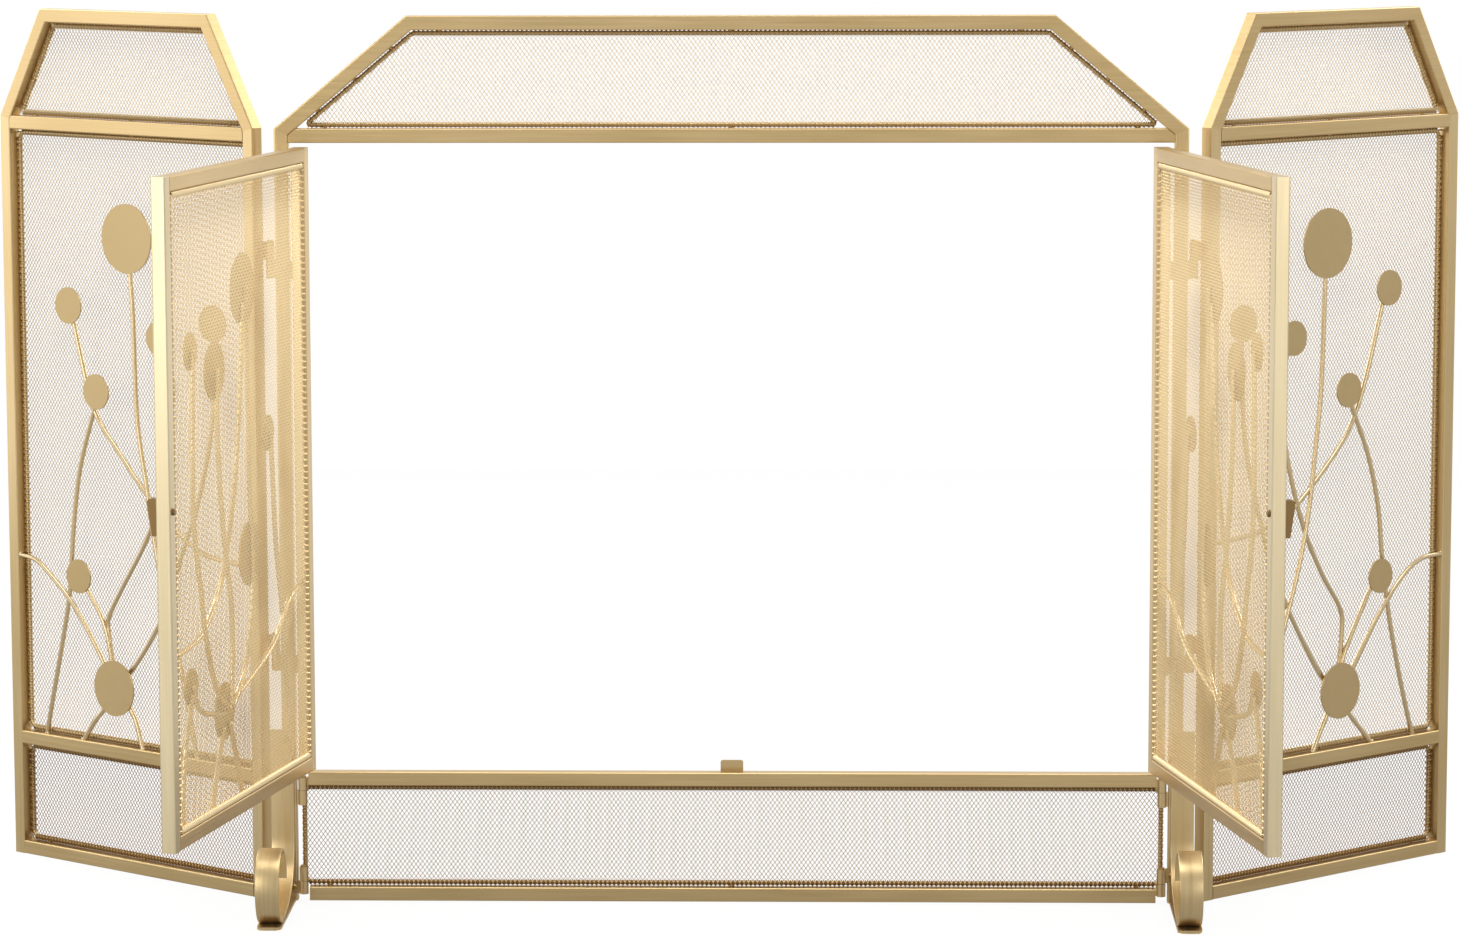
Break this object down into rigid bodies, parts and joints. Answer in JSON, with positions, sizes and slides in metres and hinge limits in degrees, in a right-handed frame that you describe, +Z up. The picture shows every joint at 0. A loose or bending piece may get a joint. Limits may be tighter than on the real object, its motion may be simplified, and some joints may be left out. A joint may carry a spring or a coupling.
{
  "type": "folding fireplace screen",
  "caption": "Gold folding fireplace screen with two mesh doors, two folding wings and rods-and-discs ornament, on scrolled feet",
  "frame": {"origin": "On the floor, midway between the centre posts and in the middle of the tube's depth.", "axes": "+X to the right along the centre frame, -Y to the front, where the doors open, +Z up."},
  "size_m": [1.3575, 0.6196, 0.8],
  "materials": {
    "frame_gold": "satin",
    "wire_gold": "satin",
    "ornament_gold": "matte",
    "foot_gold": "satin",
    "hardware_gold": "satin",
    "screw_brass": "satin"
  },
  "bodies": {
    "root": {"centre_left_post": "frame_gold", "centre_right_post": "frame_gold", "centre_top_arch": "frame_gold", "centre_cross_rail": "frame_gold", "centre_top_mesh": "wire_gold", "kick_top_rail": "frame_gold", "kick_bottom_rail": "frame_gold", "kick_mesh": "wire_gold", "kick_strip_knuckles": "hardware_gold", "kick_post_brackets": "hardware_gold", "kick_hinge_pins": "screw_brass", "kick_bracket_screws": "screw_brass", "door_stop_tab": "hardware_gold", "left_foot_scroll": "foot_gold", "right_foot_scroll": "foot_gold", "left_foot_base": "foot_gold", "right_foot_base": "foot_gold", "foot_screws": "screw_brass", "door_hinge_sockets": "hardware_gold", "wing_hinge_sockets": "hardware_gold", "hinge_pins": "screw_brass"},
    "left_wing": {"left_wing_inner_post": "frame_gold", "left_wing_outer_post": "frame_gold", "left_wing_top_arch": "frame_gold", "left_wing_mid_rail": "frame_gold", "left_wing_lower_rail": "frame_gold", "left_wing_bottom_rail": "frame_gold", "left_wing_mesh": "wire_gold", "left_wing_stems": "ornament_gold", "left_wing_discs": "ornament_gold", "left_wing_knuckles": "hardware_gold"},
    "left_door": {"left_door_hinge_stile": "frame_gold", "left_door_free_stile": "frame_gold", "left_door_top_rail": "frame_gold", "left_door_bottom_rail": "frame_gold", "left_door_mesh": "wire_gold", "left_door_stems": "ornament_gold", "left_door_discs": "ornament_gold", "left_door_pull": "hardware_gold", "left_door_knuckles": "hardware_gold"},
    "right_wing": {"right_wing_inner_post": "frame_gold", "right_wing_outer_post": "frame_gold", "right_wing_top_arch": "frame_gold", "right_wing_mid_rail": "frame_gold", "right_wing_lower_rail": "frame_gold", "right_wing_bottom_rail": "frame_gold", "right_wing_mesh": "wire_gold", "right_wing_stems": "ornament_gold", "right_wing_discs": "ornament_gold", "right_wing_knuckles": "hardware_gold"},
    "right_door": {"right_door_hinge_stile": "frame_gold", "right_door_free_stile": "frame_gold", "right_door_top_rail": "frame_gold", "right_door_bottom_rail": "frame_gold", "right_door_mesh": "wire_gold", "right_door_stems": "ornament_gold", "right_door_discs": "ornament_gold", "right_door_pull": "hardware_gold", "right_door_knuckles": "hardware_gold"}
  },
  "joints": [
    {"name": "left_wing_fold", "type": "hinge", "parent": "root", "child": "left_wing", "pos_m": [-0.4124, 0.00835, 0.404], "axis": [0, 0, -1], "range_deg": [-38, 142]},
    {"name": "right_wing_fold", "type": "hinge", "parent": "root", "child": "right_wing", "pos_m": [0.4124, 0.00835, 0.404], "axis": [0, 0, 1], "range_deg": [-42, 138]},
    {"name": "left_door_swing", "type": "hinge", "parent": "root", "child": "left_door", "pos_m": [-0.3867, -0.00835, 0.404], "axis": [0, 0, -1], "range_deg": [-101.7, 48.3]},
    {"name": "right_door_swing", "type": "hinge", "parent": "root", "child": "right_door", "pos_m": [0.3867, -0.00835, 0.404], "axis": [0, 0, 1], "range_deg": [-101.6, 48.4]}
  ]
}
